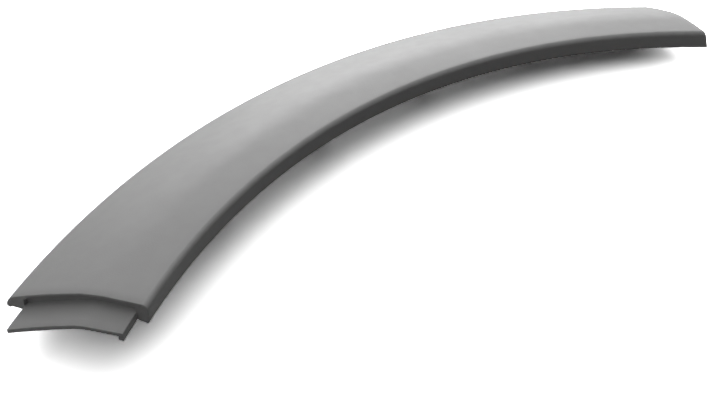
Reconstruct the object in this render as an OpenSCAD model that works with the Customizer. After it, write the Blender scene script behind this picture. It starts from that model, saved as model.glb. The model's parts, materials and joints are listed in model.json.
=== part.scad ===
// Wheel arch trim: a plastic panel that follows a wheel opening, with a soft bend along its face, a
// rim wall along the opening, a stepped-down tongue at one end for the next panel to lap over, and
// a row of push clips behind it. It lies face up, on the tips of its clips.

/* [Arch] */
// Radius of the wheel opening, measured to the inner rim
arch_r = 350; // [300:5:420]
// Angle that the face covers along the arch, in degrees
sweep = 69; // [56:1:84]
// Width of the face, from the inner rim to the outer edge
face_w = 71; // [58:1:86]
// Slant of the far end away from a radial cut, in degrees
far_slant = 16; // [4:1:20]
// Tilt of the far end, its foot reaching further along the arch than its top, in degrees
far_tilt = 22; // [0:1:28]
// Radius of the far outer corner, seen from above
far_corner_r = 7; // [3:0.5:12]

/* [Section] */
// Thickness of the face
face_t = 2.5; // [2:0.1:3]
// Height of the rim wall, up to the face
rim_h = 11.2; // [9:0.2:14]
// Thickness of the rim wall
rim_t = 2.2; // [1.8:0.1:2.3]
// Outer radius where the rim wall turns into the face
crease_r = 2.4; // [2.4:0.1:3]
// Fall of the face at the rim, in degrees
slope_in = 3.6; // [2:0.2:8]
// Growth of the fall from the rim to the bend, in degrees
inner_turn = 1.6; // [1:0.2:3]
// Growth of the fall over the bend, in degrees
bend_turn = 15.3; // [10:0.1:18]
// Growth of the fall from the bend to the turned edge, in degrees
outer_turn = 5; // [2:0.5:7]
// Distance from the rim to the middle of the bend
bend_x = 27; // [22:1:33]
// Radius of the bend
bend_r = 40; // [30:1:50]
// Fall at the end of the turned edge, in degrees
slope_edge = 76; // [65:1:85]
// Radius of the turned outer edge
edge_r = 9; // [6:0.5:12]
// Straight lip below the turned edge
lip = 1.2; // [0.6:0.2:3]

/* [Tongue] */
// Length of the tongue, past the near end of the face
tongue_len = 13.5; // [10:0.5:20]
// Depth of the step from the face down to the tongue
step_h = 5.6; // [4.5:0.1:7]
// Thickness of the tongue
tongue_t = 2.4; // [2:0.1:3]
// Gap from the rim to the tongue's inner edge, which is also the width of the end post
post_w = 5.5; // [4.5:0.5:8]
// Gap from the outer edge to the tongue's outer edge
tongue_margin = 9.5; // [8:0.5:14]
// Thickness of the wall that closes the near end
end_wall_t = 2.5; // [2:0.1:3]
// Depth of the small flange under the tongue's inner edge
flange_h = 3; // [1:0.1:4]
// Thickness of that flange
flange_t = 2.3; // [1.5:0.1:3]

/* [Ribs] */
// Number of ribs behind the face between neighbouring clips
ribs_between = 1; // [0:1:2]
// Thickness of a rib
rib_t = 1.2; // [1:0.1:1.8]
// Depth of a rib below the face
rib_h = 4.5; // [3:0.5:6]

/* [Clips] */
// Number of push clips
clip_count = 6; // [4:1:6]
// Angle from the end of the face to the first and last clip, in degrees
clip_end_gap = 4.5; // [4:0.5:8]
// Distance of the clips from the rim
clip_inset = 38; // [32:1:44]
// Diameter of the clip's stud, which fits the body's hole
stud_d = 8; // [7:0.5:9]
// Length of the stud below its sealing flange
stud_len = 9; // [8:0.5:10]
// Plain length at the root of the stud, above the barbs
stud_plain = 3; // [2:0.5:4]
// Diameter of the sealing flange
seal_d = 17; // [14:0.5:18]
// Thickness of the sealing flange
seal_t = 1.2; // [1:0.1:1.6]
// Diameter of the clip's neck, in the tower's keyhole
neck_d = 6.6; // [5.5:0.1:7]
// Diameter of the clip's head, inside the tower
head_d = 13; // [11:0.5:14]
// Thickness of the clip's head
head_t = 1.6; // [1.2:0.1:2]
// Gap between the clip and its seat
clip_gap = 0.15; // [0.1:0.05:0.3]

/* [Towers] */
// Thickness of the seat that holds the clip
seat_t = 2; // [1.8:0.1:2.4]
// Thickness of the tower's walls
tower_t = 1.8; // [1.4:0.1:2.2]

/* [Lie] */
// Lean of the arch to the plane of the clips along the arch, near end up, in degrees
lean_along = 2; // [0:0.25:3]
// Lean of the arch to the plane of the clips across the face, outer edge up, in degrees
lean_across = 4; // [2:0.25:6]
// Height of the lowest point of the outer edge above the plane of the clip tips
edge_clear = 0.8; // [0.3:0.1:4]

/* [Hidden] */
ROUND = 96;
CREASE_STEPS = 4;
INNER_STEPS = 2;
BEND_STEPS = 4;
OUTER_STEPS = 3;
EDGE_STEPS = 5;
OUTLINE_STEPS = 16;
OVERSHOOT = 1;

near_a = 90 + sweep / 2;
far_a = 90 - sweep / 2;
mid_r = arch_r + face_w / 2;

// The section is drawn as offsets from the rim, x outwards and y up. Its upper side is a chain of
// arcs, each starting at the slope where the last one ends: crease, inner part of the face, bend,
// outer part of the face and turned edge.
slope_bend = slope_in + inner_turn;
slope_outer = slope_bend + bend_turn;
slope_out = slope_outer + outer_turn;
crease_w = crease_r * (1 + sin(slope_in));
bend_w = bend_r * (sin(slope_outer) - sin(slope_bend));
edge_w = edge_r * (sin(slope_edge) - sin(slope_out)) + lip * cos(slope_edge);
inner_r = (bend_x - bend_w / 2 - crease_w) / (sin(slope_bend) - sin(slope_in));
outer_r = (face_w - edge_w - bend_x - bend_w / 2) / (sin(slope_out) - sin(slope_outer));
crease_start = [0, rim_h - crease_r * cos(slope_in)];
face_start = arc_point(crease_start, crease_r, -90, slope_in);
bend_start = arc_point(face_start, inner_r, slope_in, slope_bend);
outer_start = arc_point(bend_start, bend_r, slope_bend, slope_outer);
edge_start = arc_point(outer_start, outer_r, slope_outer, slope_out);
lip_start = arc_point(edge_start, edge_r, slope_out, slope_edge);
lip_end = lip_start + lip * [cos(slope_edge), -sin(slope_edge)];
lip_back = below(lip_end, slope_edge, face_t);

// Point at slope a on a convex arc of radius r that leaves point p at slope a0
function arc_point(p, r, a0, a) = p + r * [sin(a) - sin(a0), cos(a) - cos(a0)];

// The same point pushed a depth d below the surface
function below(p, a, d) = p - d * [sin(a), cos(a)];

// Arc of n steps from slope a0 to a1 that leaves point p, pushed a depth d below the surface
function arc_path(p, r, a0, a1, n, d) = [for (i = [0 : n]) let (a = a0 + (a1 - a0) * i / n)
    below(arc_point(p, r, a0, a), a, d)];
function tail(v) = [for (i = [1 : len(v) - 1]) v[i]];
function reversed(v) = [for (i = [len(v) - 1 : -1 : 0]) v[i]];

function crease_path(d) = arc_path(crease_start, crease_r, -90, slope_in, CREASE_STEPS, d);

// Face and turned edge, a depth d below the surface
function skin_path(d) = concat(
    arc_path(face_start, inner_r, slope_in, slope_bend, INNER_STEPS, d),
    tail(arc_path(bend_start, bend_r, slope_bend, slope_outer, BEND_STEPS, d)),
    tail(arc_path(outer_start, outer_r, slope_outer, slope_out, OUTER_STEPS, d)),
    tail(arc_path(edge_start, edge_r, slope_out, slope_edge, EDGE_STEPS, d)));

// Height of the path of depth d at offset x, between the points on either side
function skin_y(d, x) = lookup(x, skin_path(d));

// The path between offsets x0 and x1
function skin_cut(d, x0, x1) =
    concat([[x0, skin_y(d, x0)]],
        [for (p = skin_path(d)) if (p.x > x0 && p.x < x1) p],
        [[x1, skin_y(d, x1)]]);

rim_end = [for (a = [180 : 30 : 360]) rim_t / 2 * [1 + cos(a), 1 + sin(a)]];

// Lowest height that the end wall and its post reach, just short of the rim's and the lip's own
wall_clear = 0.3;
post_foot = wall_clear;
wall_depth = step_h + tongue_t / 2;
tongue_out = face_w - tongue_margin;
tongue_in = post_w;
lip_foot = lip_end.y + wall_clear;
lip_x = lip_end.x - face_t / 2;

// From the arch's frame to the part's: the lean, then the lift onto the clip tips
function lean_x(p) = [p.x, p.y * cos(lean_across) - p.z * sin(lean_across),
    p.y * sin(lean_across) + p.z * cos(lean_across)];
function lean_y(p) = [p.x * cos(lean_along) + p.z * sin(lean_along), p.y,
    p.z * cos(lean_along) - p.x * sin(lean_along)];
function leaned(p) = lean_y(lean_x(p));
function polar(r, a, z) = [r * cos(a), r * sin(a), z];

tongue_turn = tongue_len / mid_r * 180 / PI;
wall_turn = end_wall_t / mid_r * 180 / PI;

// Far end, seen along its own tilt with x along the radius and the top of the rim's end at the
// origin: direction of the cut, its normal, and the centre of the round, which crosses the cut and
// the outer edge at a small angle. The arch's axis passes cut_axis behind the origin at the lip's
// height.
cut_u = [cos(far_slant), sin(far_slant)];
cut_v = [-sin(far_slant), cos(far_slant)];
lip_drop = rim_h - lip_back.y;
cut_axis = [arch_r, -lip_drop * sin(far_tilt)];
corner_inset = 0.97 * far_corner_r;
corner_base = cut_axis + corner_inset * cut_v;
corner_b = corner_base * cut_u;
corner_rad = arch_r + face_w - corner_inset;
corner_s = -corner_b + sqrt(corner_b * corner_b - corner_base * corner_base + corner_rad * corner_rad);
corner_c = corner_base + corner_s * cut_u - cut_axis;
corner_out = (corner_c + cut_axis) / corner_rad;

// Angle past the face's end that the foot of the rim reaches
foot_turn = atan(rim_h * tan(far_tilt) / arch_r);

// Outermost points: the outer edge, the ends of the rim, the tongue's tip and the far corner
edge_angles = [for (i = [1 : OUTLINE_STEPS]) far_a + sweep * i / OUTLINE_STEPS];
outer_edge = [for (a = edge_angles) leaned(polar(arch_r + lip_end.x, a, lip_end.y))];
rim_ends = [for (a = [near_a, far_a - foot_turn]) leaned(polar(arch_r, a, 0))];
tongue_tip = [for (x = [tongue_in, tongue_out])
    leaned(polar(arch_r + x, near_a + tongue_turn, skin_y(step_h, x)))];
corner_turn = atan((corner_c.y / cos(far_tilt) - lip_drop * tan(far_tilt)) / (corner_c.x + arch_r));
far_corner = leaned(polar(corner_rad, far_a + corner_turn, lip_back.y)) + [far_corner_r, 0, 0];
lip_edge = [for (a = edge_angles) leaned(polar(arch_r + lip_back.x, a, lip_back.y))];
outline = concat(outer_edge, rim_ends, tongue_tip, [far_corner]);
centre_x = (min([for (p = outline) p.x]) + max([for (p = outline) p.x])) / 2;
centre_y = (min([for (p = outline) p.y]) + max([for (p = outline) p.y])) / 2;

// Clips: angles along the arch, and the place of each one's axis in the part's frame
clip_span = sweep - 2 * clip_end_gap;
clip_angles = [for (i = [0 : clip_count - 1]) far_a + clip_end_gap + clip_span * i / (clip_count - 1)];
function clip_axis(a) = leaned(polar(arch_r + clip_inset, a, 0)) - [centre_x, centre_y, 0];

// Ribs: evenly spaced between the clips
rib_angles = [for (i = [1 : clip_count - 1], j = [1 : 1 : ribs_between])
    clip_angles[i - 1] + (clip_angles[i] - clip_angles[i - 1]) * j / (ribs_between + 1)];

// Towers: heights above the clip tips, then sizes seen from above
seat_foot = stud_len + seal_t + clip_gap;
seat_top = seat_foot + seat_t;
neck_len = seat_t + 2 * clip_gap;
keyhole_d = neck_d + 2 * clip_gap;
head_play = 0.7;
tower_in = head_d + 2 * head_play;
tower_w = tower_in + 2 * tower_t;
tower_d = seal_d + 1;
tower_reach = 60;

// Stud, from its tip: a cone, barbs that widen to the stud's full radius, a groove, the plain root
stud_r = stud_d / 2;
barb_depth = 0.9;
core_r = stud_r - barb_depth;
tip_r = 0.4 * stud_r;
tip_len = 2.2;
groove_len = 0.8;
barbs = 2;
barb_len = (stud_len - stud_plain - groove_len - tip_len) / barbs;
function barb(i) = [[core_r, tip_len + i * barb_len], [stud_r, tip_len + (i + 1) * barb_len]];

// Heights of the clip's forms above its tip
flange_top = stud_len + seal_t;
head_foot = flange_top + neck_len;
head_top = head_foot + head_t;

// Lift of the arch above the clip tips: the outer edge keeps its clearance to the plane below, and
// the back of the face stays clear of every clip's head
head_clear = 0.5;
head_turn = head_d / 2 / (arch_r + clip_inset) * 180 / PI;
over_heads = [for (a = clip_angles, t = [0 : 45 : 315]) let (x = clip_inset + head_d / 2 * cos(t))
    leaned(polar(arch_r + x, a + head_turn * sin(t), skin_y(face_t, x)))];
edge_lift = edge_clear - min([for (p = concat(lip_edge, [far_corner])) p.z]);
lift = max(edge_lift, head_top + head_clear - min([for (p = over_heads) p.z]));

module in_arch_frame() {
    translate([-centre_x, -centre_y, lift])
        rotate([lean_across, lean_along, 0])
            children();
}

// Turns a section along the arch, from angle a0 over da
module along_arch(a0, da, points) {
    rotate_extrude(angle = da, start = a0, $fn = ROUND)
        translate([arch_r, 0])
            polygon(points);
}

// Section of the panel: round rim end, back of the rim and face, lip, then the outer side
module shell() {
    along_arch(far_a - 2 * foot_turn, sweep + 2 * foot_turn, concat(
        rim_end,
        [[rim_t, face_start.y - face_t]],
        skin_path(face_t),
        [lip_back, lip_end],
        reversed(concat(crease_path(0), tail(skin_path(0))))
    ));
}

// Wall that closes the near end, with the post that finishes the rim
module end_wall() {
    along_arch(near_a - wall_turn, wall_turn, concat(
        [[rim_t / 2, post_foot], [rim_t / 2, rim_h - face_t / 2]],
        skin_cut(face_t / 2, rim_t, lip_x),
        [[lip_x, lip_foot], [tongue_out, lip_foot]],
        reversed(skin_cut(wall_depth, post_w, tongue_out)),
        [[post_w, post_foot]]
    ));
}

// Tongue that the next panel laps over, with a flange under its inner edge
module tongue() {
    along_arch(near_a - wall_turn / 2, tongue_turn + wall_turn / 2, concat(
        skin_cut(step_h, tongue_in, tongue_out),
        reversed(skin_cut(step_h + tongue_t, tongue_in, tongue_out))
    ));
    flange_out = tongue_in + flange_t;
    flange_y = skin_y(step_h + tongue_t, tongue_in) - flange_h;
    along_arch(near_a, tongue_turn, [[tongue_in, flange_y], [flange_out, flange_y],
        [flange_out, skin_y(wall_depth, flange_out)], [tongue_in, skin_y(wall_depth, tongue_in)]]);
}

// One rib across the back of the face, at angle a
module rib(a) {
    rotate([90, 0, a])
        translate([arch_r, 0, -rib_t / 2])
            linear_extrude(rib_t)
                polygon(concat(
                    [[rim_t / 2, rim_h - face_t - rib_h], [rim_t / 2, rim_h - face_t / 2]],
                    skin_cut(face_t / 2, rim_t, lip_x),
                    reversed(skin_cut(face_t + rib_h, rim_t, lip_x - rib_h))
                ));
}

// Straight cut that ends the face, slanted so that the outer edge is the shorter one and tilted
// about the top of the rim's end, and the round of its outer corner
module far_end_cut() {
    reach = face_w + tower_reach;
    corner_reach = 3 * far_corner_r;
    rotate([0, 0, far_a])
        translate([arch_r, 0, rim_h])
            rotate([-far_tilt, 0, 0])
                translate([0, 0, -reach / 2])
                    linear_extrude(reach) {
                        rotate(far_slant)
                            translate([-reach / 2, -reach])
                                square([2 * reach, reach]);
                        difference() {
                            polygon([corner_c, corner_c + corner_reach * corner_out,
                                corner_c + corner_reach * (corner_out - cut_v),
                                corner_c - corner_reach * cut_v]);
                            translate(corner_c)
                                circle(far_corner_r, $fn = 48);
                        }
                    }
}

// Everything below the middle of the face's thickness, which trims the towers to the face
module under_face() {
    floor_y = -tower_reach;
    along_arch(far_a, sweep, concat(
        [[rim_t, floor_y]],
        skin_cut(face_t / 2, rim_t, lip_x),
        [[lip_x, floor_y]]
    ));
}

// Tower that carries one clip: three walls and a seat with a keyhole, open towards the rim
module tower(a) {
    translate(clip_axis(a) - [0, 0, clip_axis(a).z])
        rotate([0, 0, a])
            difference() {
                translate([-tower_d / 2, -tower_w / 2, seat_foot])
                    cube([tower_d, tower_w, tower_reach]);
                translate([-tower_d / 2 - tower_t, -tower_in / 2, seat_top])
                    cube([tower_d, tower_in, tower_reach]);
                cylinder(h = seat_top + OVERSHOOT, d = keyhole_d, $fn = 48);
                translate([-tower_d, -keyhole_d / 2, 0])
                    cube([tower_d, keyhole_d, seat_top + OVERSHOOT]);
            }
}

module clip() {
    rotate_extrude($fn = 48)
        polygon(concat(
            [[0, 0], [tip_r, 0]],
            [for (i = [0 : barbs - 1]) each barb(i)],
            [[core_r, stud_len - stud_plain - groove_len], [core_r, stud_len - stud_plain]],
            [[stud_r, stud_len - stud_plain], [stud_r, stud_len], [seal_d / 2, stud_len]],
            [[seal_d / 2, flange_top], [neck_d / 2, flange_top], [neck_d / 2, head_foot]],
            [[head_d / 2, head_foot], [head_d / 2, head_top], [0, head_top]]
        ));
}

module arch_trim() {
    color([0.24, 0.25, 0.26]) {
        difference() {
            union() {
                in_arch_frame() {
                    shell();
                    end_wall();
                    for (a = rib_angles)
                        rib(a);
                }
                intersection() {
                    for (a = clip_angles)
                        tower(a);
                    in_arch_frame()
                        under_face();
                }
            }
            in_arch_frame()
                far_end_cut();
        }
        in_arch_frame()
            tongue();
    }
}

module trim_clips() {
    color([0.12, 0.12, 0.13])
        for (a = clip_angles)
            translate(clip_axis(a) - [0, 0, clip_axis(a).z])
                clip();
}

arch_trim();
trim_clips();
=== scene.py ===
"""Wheel arch trim: a moulded panel and its push clips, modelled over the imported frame."""
import json
import math

import bmesh
import bpy
from bpy.props import FloatProperty, FloatVectorProperty, IntProperty, PointerProperty
from mathutils import Matrix, Vector


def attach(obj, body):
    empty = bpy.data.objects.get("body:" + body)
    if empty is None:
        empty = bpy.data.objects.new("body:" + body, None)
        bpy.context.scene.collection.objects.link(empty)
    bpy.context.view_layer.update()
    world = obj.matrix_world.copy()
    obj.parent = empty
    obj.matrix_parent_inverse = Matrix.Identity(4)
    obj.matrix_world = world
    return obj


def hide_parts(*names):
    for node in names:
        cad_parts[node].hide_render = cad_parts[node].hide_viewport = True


bl_info = {
    "name": "Wheel Arch Trim",
    "version": (1, 0, 0),
    "blender": (4, 5, 0),
    "location": "View3D > Sidebar > Arch Trim",
    "description": "Models a moulded wheel arch trim with its push clips",
    "category": "Object",
}

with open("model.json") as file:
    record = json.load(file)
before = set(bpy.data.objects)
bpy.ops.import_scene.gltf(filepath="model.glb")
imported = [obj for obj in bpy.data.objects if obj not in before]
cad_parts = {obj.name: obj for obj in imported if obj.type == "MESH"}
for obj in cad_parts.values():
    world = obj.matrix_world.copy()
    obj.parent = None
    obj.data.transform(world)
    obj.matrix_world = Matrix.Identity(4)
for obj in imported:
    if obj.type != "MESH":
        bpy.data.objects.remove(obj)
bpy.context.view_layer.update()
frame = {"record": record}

MM = 0.001
STUDS = [Vector(m["pos_m"]) for m in frame["record"]["mounts"]]

# The arch's lean onto its clip tips, and its place in the frame, in millimetres
LEAN_ALONG, LEAN_ACROSS = 2.0, 4.0
ARCH_CENTRE = Vector((8.286, -352.815, -1.344))


def sind(a):
    return math.sin(math.radians(a))


def cosd(a):
    return math.cos(math.radians(a))


# ---------------------------------------------------------------- settings

class TrimSizes(bpy.types.PropertyGroup):
    """Sizes of the moulding"""
    arch_radius: FloatProperty(
        name="Arch radius", description="Radius of the wheel opening at the rim",
        default=0.350, unit="LENGTH")
    sweep: FloatProperty(
        name="Sweep", description="Angle that the face covers along the arch",
        default=math.radians(69), subtype="ANGLE")
    face_width: FloatProperty(
        name="Face width", description="From the rim to the outer edge",
        default=0.071, unit="LENGTH")
    rim_height: FloatProperty(
        name="Rim height", description="Height of the wall along the wheel opening",
        default=0.0112, unit="LENGTH")
    wall: FloatProperty(
        name="Wall", description="Thickness of the face",
        default=0.0025, unit="LENGTH")
    tongue_length: FloatProperty(
        name="Tongue length", description="How far the tongue reaches past the face",
        default=0.0135, unit="LENGTH")
    tongue_step: FloatProperty(
        name="Tongue step", description="Depth of the tongue below the face",
        default=0.0056, unit="LENGTH")
    edge_round: FloatProperty(
        name="Edge round", description="Radius that softens the moulding's outer corners",
        default=0.0004, unit="LENGTH")
    ribs: IntProperty(
        name="Ribs", description="Ribs behind the face between neighbouring clips",
        default=1, min=0)


class ClipSizes(bpy.types.PropertyGroup):
    """Sizes of the push clips"""
    stud_diameter: FloatProperty(
        name="Stud diameter", description="Diameter of the barbed stud",
        default=0.008, unit="LENGTH")
    seal_diameter: FloatProperty(
        name="Flange diameter", description="Diameter of the sealing flange",
        default=0.017, unit="LENGTH")
    head_diameter: FloatProperty(
        name="Head diameter", description="Diameter of the head in its tower",
        default=0.013, unit="LENGTH")
    facets: IntProperty(
        name="Facets", description="Sides of each turned form",
        default=48, min=16)


class TrimFinish(bpy.types.PropertyGroup):
    """Colours and grain of the plastics"""
    panel_colour: FloatVectorProperty(
        name="Panel colour", description="Grey of the moulding", subtype="COLOR",
        size=3, min=0, max=1, default=(0.300, 0.299, 0.299))
    clip_colour: FloatVectorProperty(
        name="Clip colour", description="Black of the push clips", subtype="COLOR",
        size=3, min=0, max=1, default=(0.045, 0.045, 0.047))
    roughness: FloatProperty(
        name="Roughness", description="Roughness of the moulded face",
        default=0.5, min=0, max=1)
    gloss: FloatProperty(
        name="Gloss", description="Specular level of the moulded face",
        default=0.35, min=0, max=1)
    grain: FloatProperty(
        name="Grain", description="Size of the moulded grain",
        default=0.0006, unit="LENGTH")


class StageSettings(bpy.types.PropertyGroup):
    """Floor and light"""
    floor_colour: FloatVectorProperty(
        name="Floor colour", description="Colour of the floor", subtype="COLOR",
        size=3, min=0, max=1, default=(1.0, 1.0, 1.0))
    floor_gain: FloatProperty(
        name="Floor gain",
        description="How much lighter than its colour the floor looks to the camera",
        default=4.2, min=1)
    floor_bounce: FloatProperty(
        name="Floor bounce",
        description="Share of its colour that the floor throws back as soft light",
        default=0.06, min=0, max=1)
    light_level: FloatProperty(
        name="Light level",
        description="Light on the floor from all the lamps, where 1 shows a colour as written",
        default=1.0, min=0)


# ---------------------------------------------------------------- section of the moulding

class Section:
    """Section of the moulding as offsets from the rim, in millimetres: x outwards and z up."""

    # Slopes in degrees: inner face, the bend's start and end, end of the outer face, and the lip
    slope_in, slope_bend, slope_outer, slope_out, slope_edge = 3.6, 5.2, 20.5, 25.5, 76.0
    # Radius of the bend, which is sharper in the tongue than in the face, and its place
    face_bend_r, tongue_bend_r, bend_x = 65.0, 30.0, 27.0
    # Round over the rim wall, round of the turned edge, and the lip at its end
    crease_r, edge_r, lip = 2.4, 9.0, 1.2
    # Rounds inside the crease and at the lip's end
    fillet, lip_round = 0.8, 0.7
    # Thickness of the rim wall, width of the post, and what the tongue leaves free at the outside
    rim_t, post_w, tongue_margin = 2.2, 5.5, 9.5
    # Thickness of the tongue and the end wall, and how far the wall stands behind the face's end
    tongue_t, end_wall_t, set_back = 2.4, 2.5, 2.0
    # Height and round of the post's foot, and what the face's end loses over the wall
    post_foot, post_r, thinned = 0.4, 1.8, 1.4
    # How far over the lip's end the outer corner of the end wall stops
    corner_rise = 0.3
    flange_h, flange_t = 3.0, 2.3
    rib_t, rib_h = 1.2, 4.5
    # Slant and tilt of the far end in degrees, radius of its corner, and inset as a share of that
    far_slant, far_tilt, far_corner_r, far_corner_inset = 16.0, 22.0, 7.0, 0.97

    def __init__(self, sizes, bend_r=face_bend_r):
        self.bend_r = bend_r
        self.arch_r = sizes.arch_radius / MM
        self.sweep = math.degrees(sizes.sweep)
        self.face_w = sizes.face_width / MM
        self.rim_h = sizes.rim_height / MM
        self.face_t = sizes.wall / MM
        self.step_h = sizes.tongue_step / MM
        middle_r = self.arch_r + self.face_w / 2
        self.tongue_turn = math.degrees(sizes.tongue_length / MM / middle_r)
        self.wall_turn = math.degrees(self.end_wall_t / middle_r)
        self.set_back_turn = math.degrees(self.set_back / middle_r)
        crease_w = self.crease_r * (1 + sind(self.slope_in))
        bend_w = self.bend_r * (sind(self.slope_outer) - sind(self.slope_bend))
        edge_w = (self.edge_r * (sind(self.slope_edge) - sind(self.slope_out))
                  + self.lip * cosd(self.slope_edge))
        inner_r = ((self.bend_x - bend_w / 2 - crease_w)
                   / (sind(self.slope_bend) - sind(self.slope_in)))
        outer_r = ((self.face_w - edge_w - self.bend_x - bend_w / 2)
                   / (sind(self.slope_out) - sind(self.slope_outer)))
        self.crease_c = (self.crease_r, self.rim_h - self.crease_r * cosd(self.slope_in))
        start = self.on_arc(self.crease_c, self.crease_r, self.slope_in)
        # Arcs of the face and its edge: centre, radius, slope at the start and at the end, points
        self.arcs = []
        for r, a0, a1, count in ((inner_r, self.slope_in, self.slope_bend, 8),
                                 (self.bend_r, self.slope_bend, self.slope_outer, 10),
                                 (outer_r, self.slope_outer, self.slope_out, 10),
                                 (self.edge_r, self.slope_out, self.slope_edge, 12)):
            centre = (start[0] - r * sind(a0), start[1] - r * cosd(a0))
            self.arcs.append((centre, r, a0, a1, count))
            start = self.on_arc(centre, r, a1)
        self.lip_start = start
        self.lip_end = self.along(self.lip_start, self.lip, 0)
        self.lip_x = self.lip_end[0] - self.face_t / 2
        self.lip_foot = self.lip_end[1] + self.corner_rise
        self.tongue_out = self.face_w - self.tongue_margin

    @staticmethod
    def on_arc(centre, r, slope):
        return (centre[0] + r * sind(slope), centre[1] + r * cosd(slope))

    def along(self, p, s, depth):
        """Point a distance s down the lip from p, pushed a depth into it."""
        a = self.slope_edge
        return (p[0] + s * cosd(a) - depth * sind(a), p[1] - s * sind(a) - depth * cosd(a))

    def skin(self, depth, x):
        """Height of the face's surface at offset x, pushed a depth below it."""
        for centre, r, _, a1, _ in self.arcs:
            s = (x - centre[0]) / (r - depth)
            if s <= sind(a1):
                break
        s = min(s, sind(a1))
        return centre[1] + (r - depth) * math.sqrt(1 - s * s)

    def skin_path(self, depth, x0, x1, count):
        return [(x, self.skin(depth, x)) for x in spread(x0, x1, count)]

    def shell(self):
        """Outer and inner side of the panel's section, point by point."""
        outer, inner = [], []
        half, t = self.rim_t / 2, self.face_t
        # Rounded foot of the rim wall, from near its lowest point
        foot_from = 8
        for a in spread(foot_from, 90, 6):
            outer.append((half - half * sind(a), half - half * cosd(a)))
            inner.append((half + half * sind(a), half - half * cosd(a)))
        # Rim wall, from a little over the foot's round to a little short of the crease
        over_foot, short = 1.2, 0.2
        top = self.skin(t, self.rim_t + self.fillet)
        low = min(self.crease_c[1], top - self.fillet) - short
        for z in spread(half + over_foot, low, 3):
            outer.append((0, z))
            inner.append((self.rim_t, z))
        # Crease
        bend = spread(-90, self.slope_in, 9)
        for i, a in enumerate(bend):
            outer.append(self.on_arc(self.crease_c, self.crease_r, a))
            turn = 90 * i / (len(bend) - 1)
            inner.append((self.rim_t + self.fillet * (1 - cosd(turn)),
                          top - self.fillet + self.fillet * sind(turn)))
        # Face and turned edge, where points of the inner side keep a least distance
        least = 0.05
        for centre, r, a0, a1, count in self.arcs:
            for a in spread(a0, a1, count)[1:]:
                outer.append(self.on_arc(centre, r, a))
                p = self.on_arc(centre, r - t, a)
                inner.append((max(p[0], inner[-1][0] + least), p[1]))
        # Lip, rounded off up to a steep end
        for a in spread(0, 80, 5):
            s = self.lip - self.lip_round + self.lip_round * sind(a)
            d = self.lip_round * (1 - cosd(a))
            outer.append(self.along(self.lip_start, s, d))
            inner.append(self.along(self.lip_start, s, t - d))
        return outer, inner

    def far_corner(self):
        """Centre of the far corner's round, seen along the tilt from the top of the rim's end."""
        along = Vector((cosd(self.far_slant), sind(self.far_slant)))
        across = Vector((-along.y, along.x))
        drop = self.rim_h - self.along(self.lip_end, 0, self.face_t)[1]
        axis = Vector((self.arch_r, -drop * sind(self.far_tilt)))
        inset = self.far_corner_r * self.far_corner_inset
        rad = self.arch_r + self.face_w - inset
        base = axis + inset * across
        k = base.dot(along)
        centre = base + (-k + math.sqrt(k * k - base.length_squared + rad * rad)) * along
        return centre - axis, across, centre.normalized()

    def far_turn(self, x, z):
        """Angle by which the far end falls short of a radial one at offset x and height z."""
        r, dz = self.arch_r + max(x, 0.0), z - self.rim_h
        k = math.tan(math.radians(self.far_slant)) / cosd(self.far_tilt)
        reach = dz * math.tan(math.radians(self.far_tilt)) - k * self.arch_r
        line = math.degrees(math.atan(k) + math.asin(reach / (r * math.hypot(1, k))))
        centre, across, out = self.far_corner()

        def cut_off(turn):
            at = Vector((r * cosd(turn) - self.arch_r,
                         r * sind(turn) * cosd(self.far_tilt) - dz * sind(self.far_tilt))) - centre
            past_across = at.x * across.y - at.y * across.x > 0
            before_out = at.x * out.y - at.y * out.x > 0
            return past_across and before_out and at.length > self.far_corner_r

        # Where the corner's round cuts deeper than the straight end, halving finds how far
        hair, stretch, halvings = 1e-6, 3, 30
        low, high = line, line + stretch
        if not cut_off(low + hair):
            return line
        for _ in range(halvings):
            mid = (low + high) / 2
            low, high = (mid, high) if cut_off(mid) else (low, mid)
        return high


def spread(a, b, count):
    """Evenly spaced values from a to b."""
    return [a + (b - a) * i / (count - 1) for i in range(count)]


# ---------------------------------------------------------------- tools of the bench

def clear_selection():
    if bpy.context.object and bpy.context.object.mode != "OBJECT":
        bpy.ops.object.mode_set(mode="OBJECT")
    bpy.ops.object.select_all(action="DESELECT")


def activate(obj):
    clear_selection()
    obj.select_set(True)
    bpy.context.view_layer.objects.active = obj


def in_edit(obj, action="SELECT"):
    """Opens obj in edit mode with all of its vertices selected, or none with DESELECT."""
    activate(obj)
    bpy.ops.object.mode_set(mode="EDIT")
    bpy.ops.mesh.select_mode(type="VERT")
    bpy.ops.mesh.select_all(action=action)


def out_of_edit():
    bpy.ops.object.mode_set(mode="OBJECT")


def turn_outwards():
    """Turns all faces of the edit mesh outwards and leaves edit mode."""
    bpy.ops.mesh.select_all(action="SELECT")
    bpy.ops.mesh.normals_make_consistent(inside=False)
    out_of_edit()


def shift(vector):
    """Extrudes what is selected in the edit mesh."""
    bpy.ops.mesh.extrude_region_move(TRANSFORM_OT_translate={"value": vector})


def put_vertices(obj, points):
    for v, p in zip(obj.data.vertices, points, strict=True):
        v.co = p


def in_section(r, p):
    """Section point p of an arch of radius r, on the plane of the near end, in metres."""
    return Vector((0, (r + p[0]) * MM, p[1] * MM))


def strip(name, r, outer, inner):
    """A strip of faces between two paths of the section, standing on the near end's plane."""
    clear_selection()
    bpy.ops.mesh.primitive_grid_add(x_subdivisions=len(outer) - 1, y_subdivisions=1, size=1)
    obj = bpy.context.object
    obj.name = name
    put_vertices(obj, [in_section(r, p) for p in list(outer) + list(inner)])
    return obj


def plate(name, points):
    """A flat face with the given corners, in metres."""
    clear_selection()
    bpy.ops.mesh.primitive_circle_add(vertices=len(points), radius=1, fill_type="NGON")
    obj = bpy.context.object
    obj.name = name
    put_vertices(obj, points)
    return obj


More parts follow.
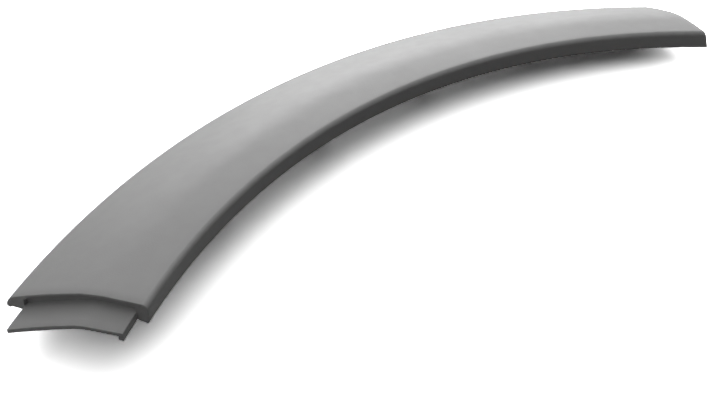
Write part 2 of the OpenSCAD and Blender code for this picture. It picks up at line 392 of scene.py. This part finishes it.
def spin(obj, start, turn, steps):
    """Carries obj's faces along the arch, from start over turn degrees towards the far end."""
    obj.data.transform(Matrix.Rotation(math.radians(-start), 4, "Z"))
    in_edit(obj)
    bpy.ops.mesh.spin(steps=steps, angle=math.radians(turn), center=(0, 0, 0), axis=(0, 0, 1))
    turn_outwards()


def soften(obj, width, wanted, segments=2):
    """Bevels the edges for which wanted says yes, given the edge of the edit mesh."""
    in_edit(obj, "DESELECT")
    bpy.ops.mesh.select_mode(type="EDGE")
    mesh = bmesh.from_edit_mesh(obj.data)
    for e in mesh.edges:
        e.select = wanted(e)
    bmesh.update_edit_mesh(obj.data)
    bpy.ops.mesh.bevel(offset=width, segments=segments, profile=0.5, affect="EDGES",
                       clamp_overlap=True)
    bpy.ops.mesh.select_mode(type="VERT")
    out_of_edit()


def sharp(e, degrees=50):
    return len(e.link_faces) == 2 and e.calc_face_angle(0) > math.radians(degrees)


def at_near_end(v):
    """Whether a vertex on the bench lies in the plane of the near end."""
    return abs(v.co.x) < 1e-7


def snap_to_near_end(obj):
    for v in obj.data.vertices:
        if at_near_end(v):
            v.co.x = 0


def merge_close(obj, distance):
    in_edit(obj)
    bpy.ops.mesh.remove_doubles(threshold=distance)
    turn_outwards()


def smooth(obj, degrees=38):
    activate(obj)
    bpy.ops.object.shade_smooth_by_angle(angle=math.radians(degrees))


# Attribute for rubbed corners, width in metres of the faces that can have it, and the convex
# turn in degrees at which it starts and is full
WEAR = "wear"
NARROW = 0.00055
WORN_FROM, WORN_FULL = 8, 22


def mark_corners(obj):
    """Stores how open to rubbing each narrow face at a convex corner is, per face corner."""
    wear = obj.data.attributes.new(WEAR, "FLOAT", "CORNER")
    mesh = bmesh.new()
    mesh.from_mesh(obj.data)
    values = []
    for face in mesh.faces:
        turn = math.degrees(max(e.calc_face_angle_signed(0) for e in face.edges))
        narrow = face.calc_area() < NARROW * face.calc_perimeter() / 2
        share = min(max((turn - WORN_FROM) / (WORN_FULL - WORN_FROM), 0), 1) if narrow else 0
        values += [share] * len(face.verts)
    mesh.free()
    wear.data.foreach_set("value", values)


def finish_piece(obj, replaced, material):
    obj.data.materials.clear()
    obj.data.materials.append(material)
    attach(obj, "root")
    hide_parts(replaced)


# ---------------------------------------------------------------- moulding

def near_to_frame(section):
    """From the bench, with the near end's plane on X = 0, to the part's place in the frame."""
    turn = Matrix.Rotation(math.radians(section.sweep / 2), 4, "Z")
    lean = (Matrix.Rotation(math.radians(LEAN_ALONG), 4, "Y")
            @ Matrix.Rotation(math.radians(LEAN_ACROSS), 4, "X"))
    return Matrix.Translation(ARCH_CENTRE * MM) @ lean @ turn


def thin_near_end(panel, section):
    """Thins the end of the face from behind, over the wall that is set back."""
    # Distance kept from the post and the outer corner, and from the inner skin at most
    margin, reach = 1.2, 0.3
    for v in panel.data.vertices:
        x = v.co.y / MM - section.arch_r
        over_wall = section.post_w + margin < x < section.tongue_out - margin
        if at_near_end(v) and over_wall:
            if abs(v.co.z / MM - section.skin(section.face_t, x)) < reach:
                v.co.z += section.thinned * MM


def slant_far_end(panel, section):
    """Draws the last stretch of the panel back to the slanted and tilted far end."""
    # Share of the sweep that stays as it is
    held = 0.8
    for v in panel.data.vertices:
        r = math.hypot(v.co.x, v.co.y)
        turn = math.degrees(math.atan2(v.co.x, v.co.y))
        share = (turn / section.sweep - held) / (1 - held)
        if share > 0:
            back = section.far_turn(r / MM - section.arch_r, v.co.z / MM) * share
            a = math.radians(turn - back)
            v.co.x, v.co.y = r * math.sin(a), r * math.cos(a)


def make_panel(section, sizes):
    """Face, rim wall and turned edge: a strip of the section spun along the arch."""
    outer, inner = section.shell()
    panel = strip("trim_moulding", section.arch_r, outer, inner)
    steps = 96
    spin(panel, 0, section.sweep, steps)
    snap_to_near_end(panel)
    thin_near_end(panel, section)
    slant_far_end(panel, section)
    # Degrees of a sharp rim, segments of its round, and degrees that hold the whole far rim
    rim_angle, rounding, far_reach = 60, 3, 8
    far_stretch = math.radians(section.sweep - far_reach)

    def far_rim(e):
        return (sharp(e, rim_angle)
                and all(math.atan2(v.co.x, v.co.y) > far_stretch for v in e.verts))

    def near_rim(e):
        # The outer side of the rim wall, the crease, the face and the lip, by their limits
        wall_x, crease_x, skin_depth, skin_end, lip_w = 0.6, 1.6, 0.5, 0.4, 0.8
        mid = (e.verts[0].co + e.verts[1].co) / 2
        x, z = math.hypot(mid.x, mid.y) / MM - section.arch_r, mid.z / MM
        outside = (x < wall_x or (x < crease_x and z > section.rim_h / 2)
                   or z > section.skin(skin_depth, min(x, section.face_w - skin_end))
                   or x > section.face_w - lip_w)
        return sharp(e, rim_angle) and all(at_near_end(v) for v in e.verts) and outside

    soften(panel, sizes.edge_round, far_rim, rounding)
    soften(panel, sizes.edge_round, near_rim, rounding)
    return panel


def make_end_wall(section, low):
    """Wall that closes the near end: set back between the flush post and outer corner.

    The wall's lower side follows low, the section of the tongue.
    """
    s = section
    # How far the post and the corner reach into the wall's width, and the wall behind them
    over, lap = 0.15, 1.0
    post_x, corner_x = s.post_w + over, s.tongue_out - over
    foot = [(post_x - s.post_r * (1 - cosd(a)), s.post_foot + s.post_r * (1 - sind(a)))
            for a in spread(0, 90, 6)]
    post = ([(s.rim_t / 2, s.post_foot), (s.rim_t / 2, s.rim_h - s.face_t / 2)]
            + s.skin_path(s.face_t / 2, s.rim_t, post_x, 5) + foot)
    corner = (s.skin_path(s.face_t / 2, corner_x, s.lip_x, 12)
              + [(s.lip_x, s.lip_foot), (corner_x, s.lip_foot)])
    wall = (s.skin_path(s.face_t / 2, s.post_w - lap, s.tongue_out + lap, 30)
            + low.skin_path(s.step_h + s.tongue_t / 2, s.tongue_out + lap, s.post_w - lap, 20))
    made = []
    for name, outline, start in (("post", post, 0), ("outer_corner", corner, 0),
                                 ("end_wall", wall, s.set_back_turn)):
        obj = plate(name, [in_section(s.arch_r, p) for p in outline])
        spin(obj, start, s.wall_turn, 1)
        snap_to_near_end(obj)
        made.append(obj)
    return made


def make_tongue(section, sizes):
    """Tongue that the next panel laps over, rounded at its free end."""
    s = section
    count, steps = 24, 4
    top = s.skin_path(s.step_h, s.post_w, s.tongue_out, count)
    under = s.skin_path(s.step_h + s.tongue_t, s.post_w, s.tongue_out, count)
    tongue = strip("tongue", s.arch_r, top, under)
    spin(tongue, -s.tongue_turn, s.tongue_turn + s.set_back_turn + s.wall_turn / 2, steps)
    free = -0.5 * MM
    soften(tongue, sizes.edge_round, lambda e: sharp(e) and min(v.co.x for v in e.verts) < free)
    return tongue


def make_flange(section):
    """Short flange under the tongue's inner edge, rounded at its foot."""
    s = section
    # Millimetres and degrees that keep its faces off those of the tongue and the end wall
    inset, drop, shorter, lap, steps = 0.02, 0.2, 0.01, 0.04, 4
    low = s.skin(s.step_h + s.tongue_t, s.post_w) - s.flange_h
    high = s.skin(s.step_h + s.tongue_t / 2, s.post_w)
    points = [(s.post_w + inset, low), (s.post_w + s.flange_t, low),
              (s.post_w + s.flange_t, high - drop), (s.post_w + inset, high)]
    flange = plate("flange", [in_section(s.arch_r, p) for p in points])
    spin(flange, -s.tongue_turn + shorter, s.tongue_turn + lap, steps)
    foot_round, foot_z, rounding = 0.8 * MM, (low + 0.5) * MM, 3
    soften(flange, foot_round,
           lambda e: sharp(e) and max(v.co.z for v in e.verts) < foot_z, rounding)
    return flange


def make_rib(section, turn):
    """One rib across the back of the face, rounded along its free edge."""
    s = section
    count, short = 24, 0.3
    top = ([(s.rim_t / 2, s.skin(s.face_t / 2, s.rim_t))]
           + s.skin_path(s.face_t / 2, s.rim_t, s.lip_x - short, count))
    under = ([(s.rim_t / 2, s.skin(s.face_t + s.rib_h, s.rim_t))]
             + s.skin_path(s.face_t + s.rib_h, s.rim_t, s.lip_x - s.rib_h, count))
    rib = strip("rib", s.arch_r, top, under)
    half = s.rib_t / 2 * MM
    rib.data.transform(Matrix.Translation((-half, 0, 0)))
    in_edit(rib)
    shift((2 * half, 0, 0))
    turn_outwards()
    edge_angle, edge_round, edge_depth = 60, 0.25 * MM, s.face_t + s.rib_h - 0.5

    def over_edge(v):
        return v.co.z / MM - s.skin(edge_depth, v.co.y / MM - s.arch_r)

    soften(rib, edge_round,
           lambda e: sharp(e, edge_angle) and max(over_edge(v) for v in e.verts) < 0)
    rib.data.transform(Matrix.Rotation(math.radians(-turn), 4, "Z"))
    return rib


# Clip towers: half their width, their walls, the seat's height and thickness, and the keyhole
TOWER = 9.0
TOWER_WALL = 1.8
SEAT_FOOT, SEAT_T = 10.35, 2.0
KEYHOLE_R = 3.45


def make_tower(section, place, stud):
    """Tower for one clip: walls on three sides and a seat with a keyhole, open towards the rim."""
    inside = TOWER - TOWER_WALL
    walls = [(-TOWER, -TOWER), (TOWER, -TOWER), (TOWER, TOWER), (-TOWER, TOWER), (-TOWER, inside),
             (inside, inside), (inside, -inside), (-TOWER, -inside)]
    keyhole = [(KEYHOLE_R * cosd(a), KEYHOLE_R * sind(a)) for a in spread(90, -90, 19)]
    edge = TOWER - TOWER_WALL / 2
    seat = ([(-TOWER, -edge), (edge, -edge), (edge, edge), (-TOWER, edge), (-TOWER, KEYHOLE_R)]
            + keyhole + [(-TOWER, -KEYHOLE_R)])
    # Seat over the walls' feet, height of the walls before they are raised, and rounds of that
    seat_rise, wall_h, fits = 0.2, 1, 4
    to_stud = Vector((stud.x, stud.y, 0)) - Vector((place.translation.x, place.translation.y, 0))
    facing = math.atan2(to_stud.y, to_stud.x)
    stand = Matrix.Translation((stud.x, stud.y, 0)) @ Matrix.Rotation(facing, 4, "Z")
    back = place.inverted()
    made = []
    for name, outline, foot, top in (
            ("tower_seat", seat, SEAT_FOOT + seat_rise, SEAT_FOOT + SEAT_T),
            ("tower_walls", walls, SEAT_FOOT, SEAT_FOOT + wall_h)):
        obj = plate(name, [Vector((x * MM, y * MM, foot * MM)) for x, y in outline])
        in_edit(obj)
        shift((0, 0, (top - foot) * MM))
        turn_outwards()
        obj.data.transform(stand)
        if name == "tower_walls":
            # The walls' tops are raised into the face, in a few rounds because it is curved
            for v in obj.data.vertices:
                if v.co.z > (foot + wall_h / 2) * MM:
                    for _ in range(fits):
                        p = back @ v.co
                        x = math.hypot(p.x, p.y) / MM - section.arch_r
                        p.z = section.skin(section.face_t / 2, x) * MM
                        v.co.z = (place @ p).z
        obj.data.transform(back)
        made.append(obj)
    return made


def unite(target, others):
    """Joins the others to the target with one exact union."""
    bench = bpy.data.collections.new("bench")
    bpy.context.scene.collection.children.link(bench)
    for o in others:
        for c in list(o.users_collection):
            c.objects.unlink(o)
        bench.objects.link(o)
    activate(target)
    union = target.modifiers.new("union", "BOOLEAN")
    union.operation = "UNION"
    union.solver = "EXACT"
    union.operand_type = "COLLECTION"
    union.collection = bench
    bpy.ops.object.modifier_apply(modifier=union.name)
    for o in others:
        mesh = o.data
        bpy.data.objects.remove(o)
        bpy.data.meshes.remove(mesh)
    bpy.data.collections.remove(bench)


class TRIM_OT_moulding(bpy.types.Operator):
    """Model the moulding: face, rim wall, end wall, tongue, ribs and clip towers"""
    bl_idname = "trim.moulding"
    bl_label = "Moulding"

    def execute(self, context):
        sizes = context.scene.trim_sizes
        section = Section(sizes)
        low = Section(sizes, Section.tongue_bend_r)
        place = near_to_frame(section)
        panel = make_panel(section, sizes)
        parts = make_end_wall(section, low) + [make_tongue(low, sizes), make_flange(low)]
        turns = []
        for stud in STUDS:
            parts += make_tower(section, place, stud)
            at = place.inverted() @ stud
            turns.append(math.degrees(math.atan2(at.x, at.y)))
        for a, b in zip(turns, turns[1:]):
            for turn in spread(a, b, sizes.ribs + 2)[1:-1]:
                parts.append(make_rib(section, turn))
        unite(panel, parts)
        merge_close(panel, distance=5e-6)
        panel.data.transform(place)
        mark_corners(panel)
        smooth(panel)
        material = moulded_plastic(context.scene.trim_finish)
        finish_piece(panel, "arch_trim", material)
        return {"FINISHED"}


# ---------------------------------------------------------------- clips

def clip_profile(sizes):
    """Radius and height in millimetres of the turned form, from the stud's tip to the head."""
    stud, seal, head = (d / MM / 2 for d in (sizes.stud_diameter, sizes.seal_diameter,
                                             sizes.head_diameter))
    core, neck, barb_feet = stud - 0.9, 3.3, (2.2, 3.7)
    tip = [(1.2, 0), (1.5, 0.1), (1.75, 0.4)]
    barbs = []
    for z in barb_feet:
        barbs += [(core, z), (stud - 0.12, z + 1.3), (stud, z + 1.42), (stud - 0.08, z + 1.5),
                  (core + 0.1, z + 1.5)]
    shank = [(core, 5.3), (core, 5.9), (core + 0.1, 6), (stud - 0.15, 6), (stud, 6.15),
             (stud, 8.8), (stud + 0.2, 9)]
    flange = [(seal - 0.35, 9), (seal - 0.1, 9.1), (seal, 9.35), (seal, 9.9), (seal - 0.1, 10.1),
              (seal - 0.3, 10.2)]
    waist = [(neck + 0.2, 10.2), (neck, 10.4), (neck, 12.5)]
    top = [(head - 0.2, 12.5), (head, 12.7), (head, 13.15), (head - 0.15, 13.35),
           (head - 1.4, 14.02), (head - 1.7, 14.1)]
    return tip + barbs + shank + flange + waist + top


class TRIM_OT_clips(bpy.types.Operator):
    """Model the push clips, each turned as one form"""
    bl_idname = "trim.clips"
    bl_label = "Push clips"

    def execute(self, context):
        sizes = context.scene.clip_sizes
        profile = clip_profile(sizes)
        clear_selection()
        bpy.ops.mesh.primitive_circle_add(vertices=sizes.facets, radius=profile[0][0] * MM,
                                          fill_type="NGON")
        clip = bpy.context.object
        in_edit(clip)
        for (r0, z0), (r1, z1) in zip(profile, profile[1:]):
            shift((0, 0, (z1 - z0) * MM))
            bpy.ops.transform.resize(value=(r1 / r0, r1 / r0, 1))
        turn_outwards()
        copies = []
        for place in STUDS:
            copy = clip.copy()
            copy.data = clip.data.copy()
            context.scene.collection.objects.link(copy)
            copy.data.transform(Matrix.Translation((place.x, place.y, 0)))
            copies.append(copy)
        bpy.data.objects.remove(clip)
        clear_selection()
        for c in copies:
            c.select_set(True)
        context.view_layer.objects.active = copies[0]
        bpy.ops.object.join()
        clips = context.view_layer.objects.active
        clips.name = "push_clips"
        mark_corners(clips)
        smooth(clips, 30)
        material = clip_plastic(context.scene.trim_finish)
        finish_piece(clips, "trim_clips", material)
        return {"FINISHED"}


# ---------------------------------------------------------------- materials

def new_material(name):
    material = bpy.data.materials.new(name)
    material.use_nodes = True
    return material, material.node_tree.nodes, material.node_tree.links


def grain_group():
    """Node group: the fine moulded grain, the slow drift of tone and the marks of handling."""
    found = bpy.data.node_groups.get("Moulded grain")
    if found:
        return found
    group = bpy.data.node_groups.new("Moulded grain", "ShaderNodeTree")
    number = "NodeSocketFloat"
    for name, default in (("Scale", 1600.0), ("Drift scale", 9.0), ("Mark scale", 130.0)):
        socket = group.interface.new_socket(name=name, in_out="INPUT", socket_type=number)
        socket.default_value = default
    for name in ("Height", "Drift", "Marks"):
        group.interface.new_socket(name=name, in_out="OUTPUT", socket_type=number)
    nodes, links = group.nodes, group.links
    start, end = nodes.new("NodeGroupInput"), nodes.new("NodeGroupOutput")
    place = nodes.new("ShaderNodeTexCoord")
    cells = nodes.new("ShaderNodeTexVoronoi")
    cells.feature = "SMOOTH_F1"
    cells.inputs["Smoothness"].default_value = 0.6
    links.new(place.outputs["Object"], cells.inputs["Vector"])
    links.new(start.outputs["Scale"], cells.inputs["Scale"])
    noises = []
    for scale, detail in (("Scale", 3), ("Drift scale", 2), ("Mark scale", 6)):
        noise = nodes.new("ShaderNodeTexNoise")
        noise.inputs["Detail"].default_value = detail
        links.new(place.outputs["Object"], noise.inputs["Vector"])
        links.new(start.outputs[scale], noise.inputs["Scale"])
        noises.append(noise.outputs["Fac"])
    height = nodes.new("ShaderNodeMath")
    height.operation = "ADD"
    links.new(cells.outputs["Distance"], height.inputs[0])
    links.new(noises[0], height.inputs[1])
    links.new(height.outputs["Value"], end.inputs["Height"])
    links.new(noises[1], end.inputs["Drift"])
    links.new(noises[2], end.inputs["Marks"])
    return group


def ramp(nodes, links, source, span, to):
    """Maps source from a span to another two values, held at both ends."""
    node = nodes.new("ShaderNodeMapRange")
    for name, value in zip(("From Min", "From Max", "To Min", "To Max"), (*span, *to)):
        node.inputs[name].default_value = value
    links.new(source, node.inputs["Value"])
    return node.outputs["Result"]


def combine(nodes, links, operation, a, b):
    """Math node on two numbers or sockets."""
    node = nodes.new("ShaderNodeMath")
    node.operation = operation
    for socket, value in zip(node.inputs, (a, b)):
        if isinstance(value, float):
            socket.default_value = value
        else:
            links.new(value, socket)
    return node.outputs["Value"]


# Spans of the drift and the marks that count, and what they and the rubbing do to the colour,
# as a factor, and to the roughness
WHOLE = (0.0, 1.0)
DRIFT_SPAN, MARK_SPAN = (0.3, 0.7), (0.35, 0.65)
DRIFT_TONE, MARK_TONE, RUBBED_TONE = (0.955, 1.035), (-0.012, 0.012), 0.22
DRIFT_SHEEN, MARK_SHEEN, RUBBED_SHEEN = (-0.025, 0.025), (0.02, -0.02), 0.08
PLASTIC_IOR = 1.5
GRAIN_DEPTH = 0.00005


def plastic(name, colour, roughness, gloss, scale, bump):
    """A moulded plastic with grain, drift of tone, faint marks, and corners rubbed smoother."""
    material, nodes, links = new_material(name)
    shader = nodes["Principled BSDF"]
    shader.inputs["IOR"].default_value = PLASTIC_IOR
    shader.inputs["Specular IOR Level"].default_value = gloss
    grain = nodes.new("ShaderNodeGroup")
    grain.node_tree = grain_group()
    grain.inputs["Scale"].default_value = scale
    worn = nodes.new("ShaderNodeAttribute")
    worn.attribute_name = WEAR
    drift = grain.outputs["Drift"]
    marks = ramp(nodes, links, grain.outputs["Marks"], MARK_SPAN, WHOLE)
    rubbed = combine(nodes, links, "MULTIPLY", worn.outputs["Fac"], marks)
    tone = combine(nodes, links, "ADD", ramp(nodes, links, drift, DRIFT_SPAN, DRIFT_TONE),
                   ramp(nodes, links, marks, WHOLE, MARK_TONE))
    tone = combine(nodes, links, "ADD", tone,
                   combine(nodes, links, "MULTIPLY", rubbed, RUBBED_TONE))
    paint = nodes.new("ShaderNodeMix")
    paint.data_type = "RGBA"
    paint.blend_type = "MULTIPLY"
    paint.inputs["Factor"].default_value = 1.0
    paint.inputs["A"].default_value = (*colour, 1)
    links.new(tone, paint.inputs["B"])
    links.new(paint.outputs["Result"], shader.inputs["Base Color"])
    sheen = combine(nodes, links, "ADD", ramp(nodes, links, drift, DRIFT_SPAN, DRIFT_SHEEN),
                    ramp(nodes, links, marks, WHOLE, [roughness + m for m in MARK_SHEEN]))
    sheen = combine(nodes, links, "SUBTRACT", sheen,
                    combine(nodes, links, "MULTIPLY", rubbed, RUBBED_SHEEN))
    links.new(sheen, shader.inputs["Roughness"])
    height = nodes.new("ShaderNodeBump")
    height.inputs["Strength"].default_value = bump
    height.inputs["Distance"].default_value = GRAIN_DEPTH
    links.new(grain.outputs["Height"], height.inputs["Height"])
    links.new(height.outputs["Normal"], shader.inputs["Normal"])
    return material


def moulded_plastic(finish):
    return plastic("Moulded panel plastic", finish.panel_colour, roughness=finish.roughness,
                   gloss=finish.gloss, scale=1 / finish.grain, bump=0.5)


def clip_plastic(finish):
    return plastic("Clip plastic", finish.clip_colour, roughness=0.4, gloss=0.5,
                   scale=1 / finish.grain, bump=0.15)


# ---------------------------------------------------------------- stage

# Camera: place in metres, turn in degrees, lens and sensor in millimetres, near clip in metres
CAMERA_AT = Vector((-282.218, -326.936, 302.913)) * MM
CAMERA_TURN = (50.503215, 0.732495, -39.299928)
CAMERA_LENS, CAMERA_SENSOR = 44.505, 36
CAMERA_NEAR = 0.01

# Floor: its side, and the distances from the middle between which it passes over to white
FLOOR_SIDE = 12
FLOOR_FADE = (0.6, 1.2)

# Lamps: name, place in metres, width, and share of the light on the floor at the origin
LAMPS = (
    ("top_lamp", (-0.1, -0.2, 1.5), 2.4, 0.554),
    ("top_right_lamp", (0.3, 0.2, 1.5), 2.4, 0.082),
    ("right_lamp", (0.9, 0.2, 1.1), 1.2, 0.038),
    ("back_right_lamp", (0.7, 1.3, 0.9), 1.2, 0.093),
    ("low_back_lamp", (0.6, 1.6, 0.35), 1.2, 0.052),
    ("low_corner_lamp", (1.1, 1.4, 0.35), 1.2, 0.076),
    ("low_side_lamp", (1.6, 0.7, 0.4), 1.2, 0.065),
    ("left_lamp", (-1.4, -0.2, 0.9), 1.2, 0.04),
)


def lamp(name, at, size, level):
    """A square lamp turned to the origin, which lights the floor there to the given level."""
    at = Vector(at)
    data = bpy.data.lights.new(name, "AREA")
    data.shape = "SQUARE"
    data.size = size
    data.energy = level * math.pi ** 2 * at.length ** 3 / at.z
    obj = bpy.data.objects.new(name, data)
    bpy.context.scene.collection.objects.link(obj)
    obj.location = at
    obj.rotation_euler = (-at).to_track_quat("-Z", "Y").to_euler()


def shown_rays(nodes, links):
    """Light Path, and a value of 1 for camera, glossy and transmission rays, which show white."""
    path = nodes.new("ShaderNodeLightPath")
    mirrored = combine(nodes, links, "MAXIMUM", path.outputs["Is Glossy Ray"],
                       path.outputs["Is Transmission Ray"])
    return path, combine(nodes, links, "MAXIMUM", mirrored, path.outputs["Is Camera Ray"])


def floor_material(stage):
    """Floor that is white to the camera and in mirrors, bounces little, and is clear from below."""
    material, nodes, links = new_material("Floor")
    nodes.remove(nodes["Principled BSDF"])
    path, shown = shown_rays(nodes, links)
    diffuse = nodes.new("ShaderNodeBsdfDiffuse")
    colour = None
    for ray, gain in ((shown, 1.0), (path.outputs["Is Camera Ray"], stage.floor_gain)):
        mix = nodes.new("ShaderNodeMix")
        mix.data_type = "RGBA"
        mix.inputs["A"].default_value = (*[c * stage.floor_bounce for c in stage.floor_colour], 1)
        mix.inputs["B"].default_value = (*[c * gain for c in stage.floor_colour], 1)
        links.new(ray, mix.inputs["Factor"])
        if colour:
            links.new(colour, mix.inputs["A"])
        colour = mix.outputs["Result"]
    links.new(colour, diffuse.inputs["Color"])
    # Away from the object the floor passes over to an even white of its own
    place = nodes.new("ShaderNodeTexCoord")
    away = nodes.new("ShaderNodeVectorMath")
    away.operation = "LENGTH"
    links.new(place.outputs["Object"], away.inputs[0])
    white = nodes.new("ShaderNodeEmission")
    white.inputs["Color"].default_value = (*stage.floor_colour, 1)
    fade = ramp(nodes, links, away.outputs["Value"], FLOOR_FADE, WHOLE)
    far = combine(nodes, links, "MULTIPLY", fade, shown)
    side = nodes.new("ShaderNodeNewGeometry")
    clear = nodes.new("ShaderNodeBsdfTransparent")
    surface = diffuse.outputs["BSDF"]
    for share, other in ((far, white.outputs["Emission"]),
                         (side.outputs["Backfacing"], clear.outputs["BSDF"])):
        both = nodes.new("ShaderNodeMixShader")
        links.new(share, both.inputs["Fac"])
        links.new(surface, both.inputs[1])
        links.new(other, both.inputs[2])
        surface = both.outputs["Shader"]
    links.new(surface, nodes["Material Output"].inputs["Surface"])
    return material


def sky():
    """World that is white to the camera and to mirrors and gives no light of its own."""
    world = bpy.data.worlds.new("Sky")
    world.use_nodes = True
    nodes, links = world.node_tree.nodes, world.node_tree.links
    nodes["Background"].inputs["Color"].default_value = (1, 1, 1, 1)
    links.new(shown_rays(nodes, links)[1], nodes["Background"].inputs["Strength"])
    world.cycles.sampling_method = "NONE"
    return world


class TRIM_OT_stage(bpy.types.Operator):
    """Set up the floor, the lamps, the sky and the camera"""
    bl_idname = "trim.stage"
    bl_label = "Stage"

    def execute(self, context):
        stage = context.scene.stage_settings
        clear_selection()
        bpy.ops.mesh.primitive_plane_add(size=FLOOR_SIDE, location=(0, 0, 0))
        floor = bpy.context.object
        floor.name = "floor"
        floor.data.materials.append(floor_material(stage))
        for name, at, size, share in LAMPS:
            lamp(name, at, size, share * stage.light_level)
        context.scene.world = sky()
        data = bpy.data.cameras.new("camera")
        data.lens = CAMERA_LENS
        data.sensor_width = CAMERA_SENSOR
        data.clip_start = CAMERA_NEAR
        camera = bpy.data.objects.new("camera", data)
        context.scene.collection.objects.link(camera)
        camera.location = CAMERA_AT
        camera.rotation_euler = [math.radians(a) for a in CAMERA_TURN]
        context.scene.camera = camera
        context.scene.view_settings.view_transform = "Standard"
        return {"FINISHED"}


# ---------------------------------------------------------------- panel and run

class TRIM_PT_panel(bpy.types.Panel):
    """Lists the pieces of the trim"""
    bl_idname = "TRIM_PT_panel"
    bl_label = "Wheel Arch Trim"
    bl_space_type = "VIEW_3D"
    bl_region_type = "UI"
    bl_category = "Arch Trim"

    def draw(self, context):
        for group in (context.scene.trim_sizes, context.scene.clip_sizes,
                      context.scene.trim_finish, context.scene.stage_settings):
            box = self.layout.box()
            for name in group.bl_rna.properties.keys():
                if name not in ("rna_type", "name"):
                    box.prop(group, name)
        for operator in (TRIM_OT_moulding, TRIM_OT_clips, TRIM_OT_stage):
            self.layout.operator(operator.bl_idname)


CLASSES = (TrimSizes, ClipSizes, TrimFinish, StageSettings, TRIM_OT_moulding, TRIM_OT_clips,
           TRIM_OT_stage, TRIM_PT_panel)


def register():
    for c in CLASSES:
        bpy.utils.register_class(c)
    bpy.types.Scene.trim_sizes = PointerProperty(type=TrimSizes)
    bpy.types.Scene.clip_sizes = PointerProperty(type=ClipSizes)
    bpy.types.Scene.trim_finish = PointerProperty(type=TrimFinish)
    bpy.types.Scene.stage_settings = PointerProperty(type=StageSettings)


def unregister():
    for name in ("trim_sizes", "clip_sizes", "trim_finish", "stage_settings"):
        delattr(bpy.types.Scene, name)
    for c in reversed(CLASSES):
        bpy.utils.unregister_class(c)


def main():
    register()
    bpy.ops.trim.moulding()
    bpy.ops.trim.clips()
    bpy.ops.trim.stage()


if __name__ == "__main__":
    main()
